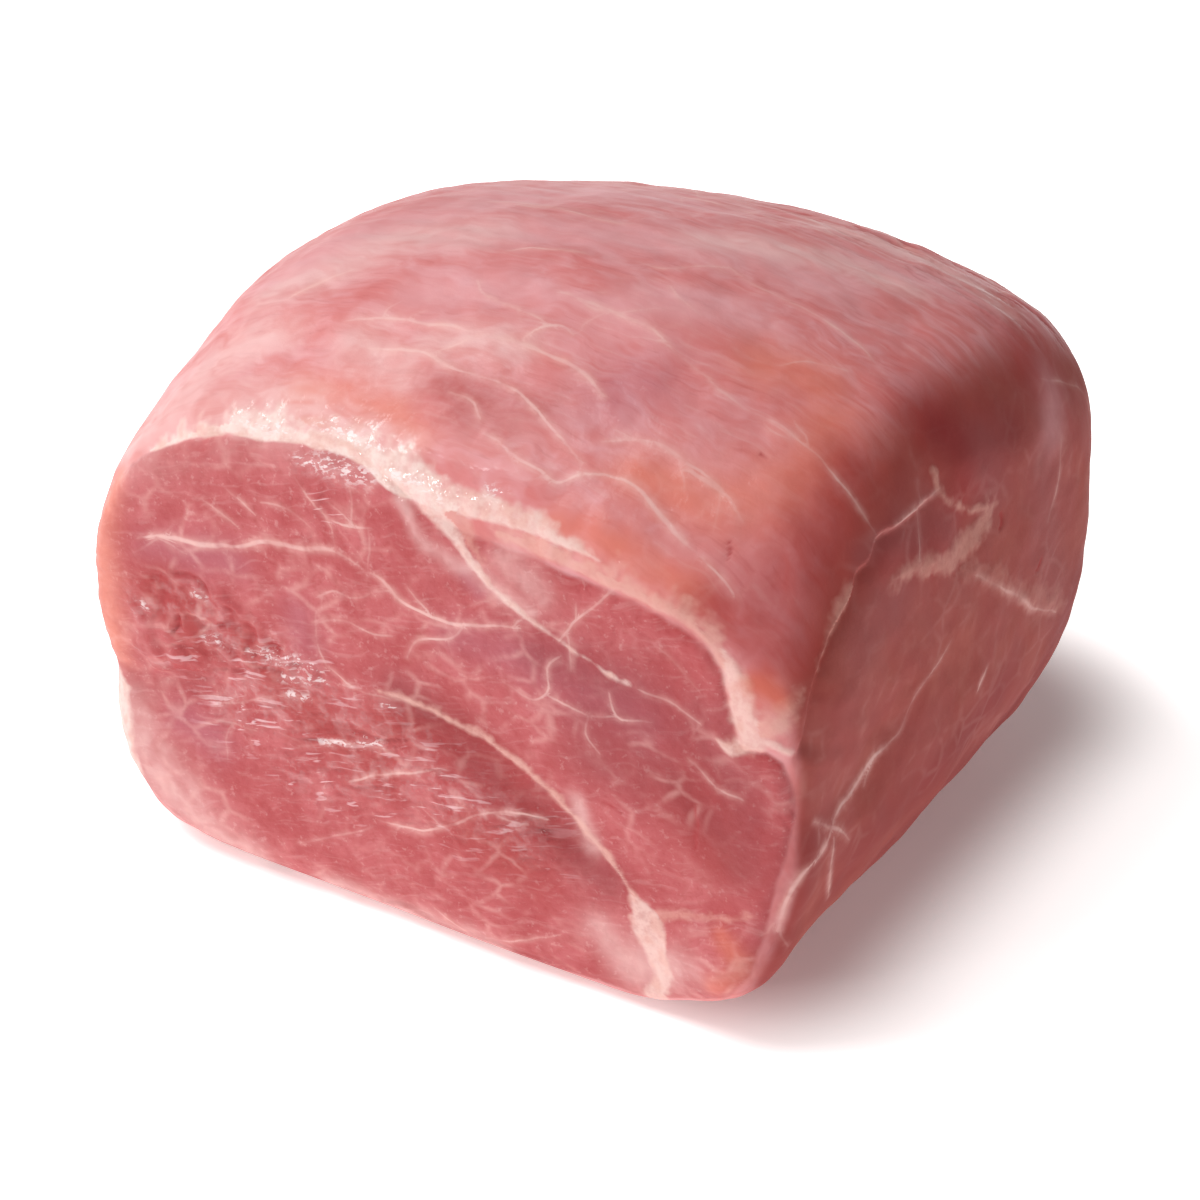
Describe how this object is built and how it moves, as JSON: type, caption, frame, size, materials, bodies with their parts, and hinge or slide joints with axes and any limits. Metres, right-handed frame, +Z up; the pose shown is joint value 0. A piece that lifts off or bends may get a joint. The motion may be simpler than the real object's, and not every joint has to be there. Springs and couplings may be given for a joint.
{
  "type": "boneless pork leg joint",
  "caption": "Raw boneless leg joint of pork: a rounded block of meat with a flat cut face in front, a domed top and a flat underside.",
  "frame": {"origin": "middle of the bounding box, at the flat underside", "axes": "+Z up, the cut face looks along -Y, and +X runs to the joint's right side as seen from the cut"},
  "size_m": [0.153, 0.1468, 0.1191],
  "materials": {
    "raw_pork": "moist raw meat, pink to red, with pale fat seams and a thin glossy skin of membrane"
  },
  "bodies": {
    "root": {"pork_leg": "raw_pork"}
  },
  "joints": []
}
